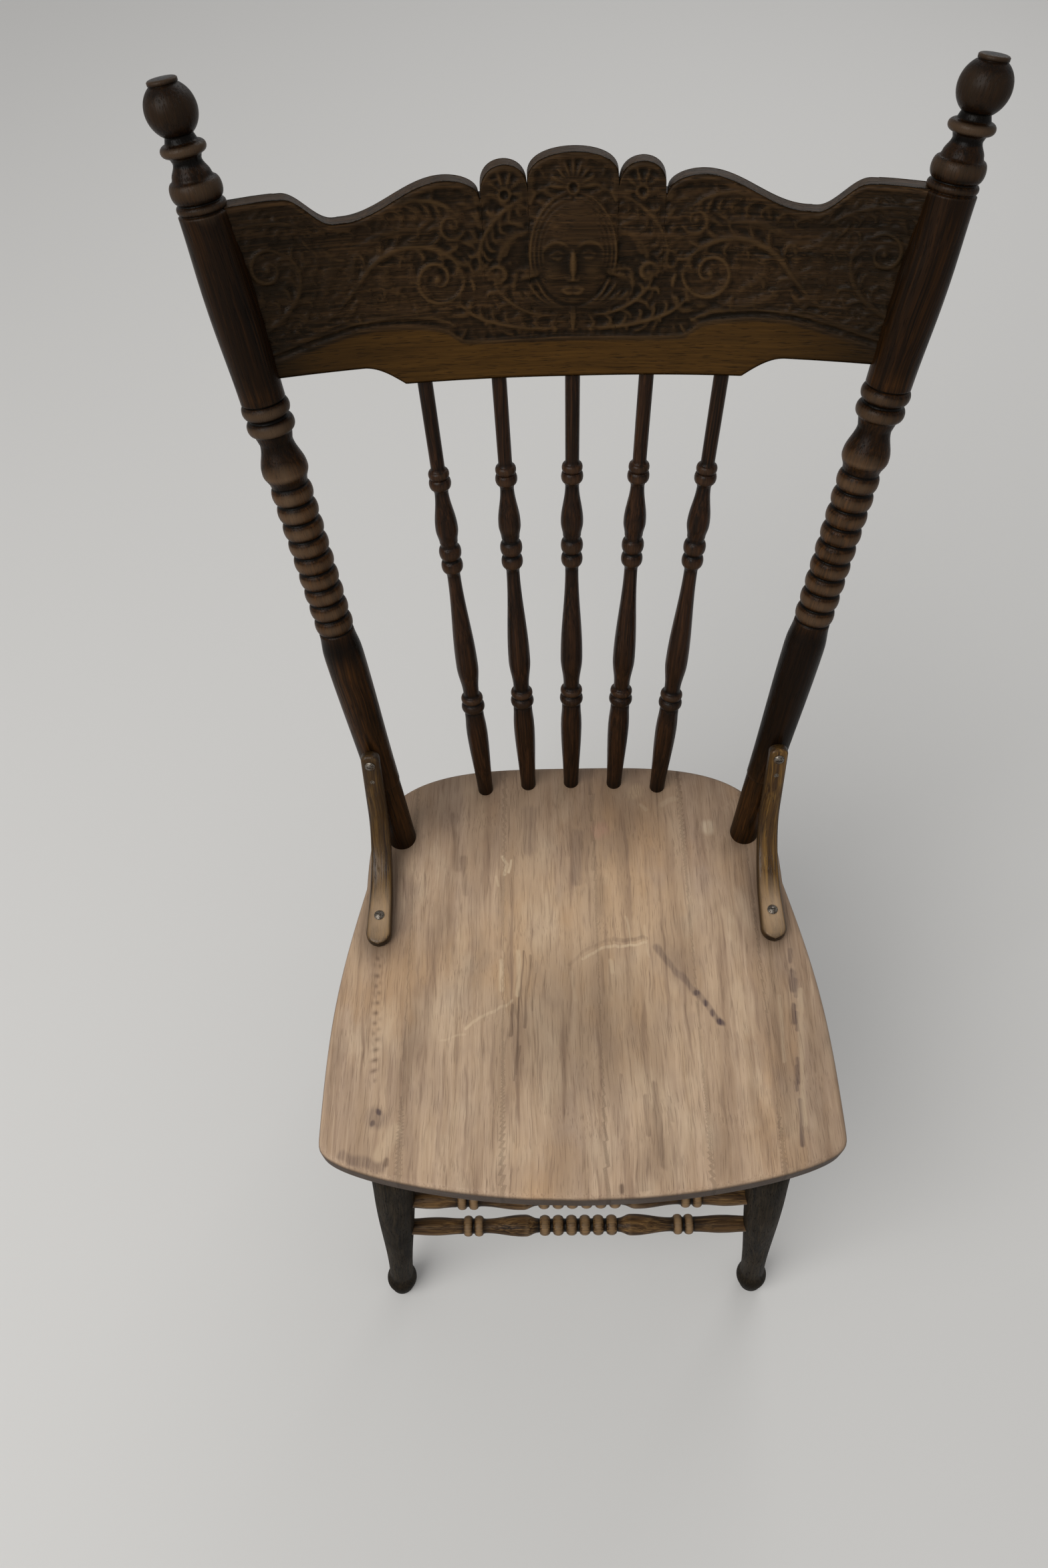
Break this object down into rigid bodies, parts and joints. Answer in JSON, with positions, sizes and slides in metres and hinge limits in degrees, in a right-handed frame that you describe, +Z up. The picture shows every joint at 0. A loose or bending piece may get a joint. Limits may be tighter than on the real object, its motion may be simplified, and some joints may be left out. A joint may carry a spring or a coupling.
{
  "type": "side chair",
  "caption": "Old turned side chair in worn dark oak: plank seat, leaning spindle back with finialed posts and a carved-looking pressed crest rail, curved hip braces.",
  "frame": {"origin": "middle of the chair's width and depth, on the floor", "axes": "+Z up, the chair faces -Y and its back leans to +Y, X across"},
  "size_m": [0.5022, 0.533, 1.0314],
  "materials": {
    "worn_seat_oak": "bare worn oak with remains of stain",
    "dark_oak": "dark stained and varnished turned oak",
    "pressed_oak": "stained oak with a pressed relief, rubbed on its high parts",
    "brace_oak": "bent oak, golden where the stain is worn",
    "leg_oak": "turned oak, stain greyed by weather",
    "stretcher_oak": "turned oak, golden with dark grooves",
    "screw_steel": "rubbed steel screw heads, dull in the slots"
  },
  "bodies": {
    "root": {"seat": "worn_seat_oak", "back_post_left": "dark_oak", "back_post_right": "dark_oak", "crest_rail": "pressed_oak", "spindle_1": "dark_oak", "spindle_2": "dark_oak", "spindle_3": "dark_oak", "spindle_4": "dark_oak", "spindle_5": "dark_oak", "hip_brace_left": "brace_oak", "hip_brace_right": "brace_oak", "brace_screws": "screw_steel", "brace_pins": "screw_steel", "front_leg_left": "leg_oak", "front_leg_right": "leg_oak", "rear_leg_left": "leg_oak", "rear_leg_right": "leg_oak", "front_stretcher_upper": "stretcher_oak", "front_stretcher_lower": "stretcher_oak", "side_stretcher_upper_left": "stretcher_oak", "side_stretcher_upper_right": "stretcher_oak", "side_stretcher_lower_left": "stretcher_oak", "side_stretcher_lower_right": "stretcher_oak", "rear_stretcher": "stretcher_oak"}
  },
  "joints": []
}
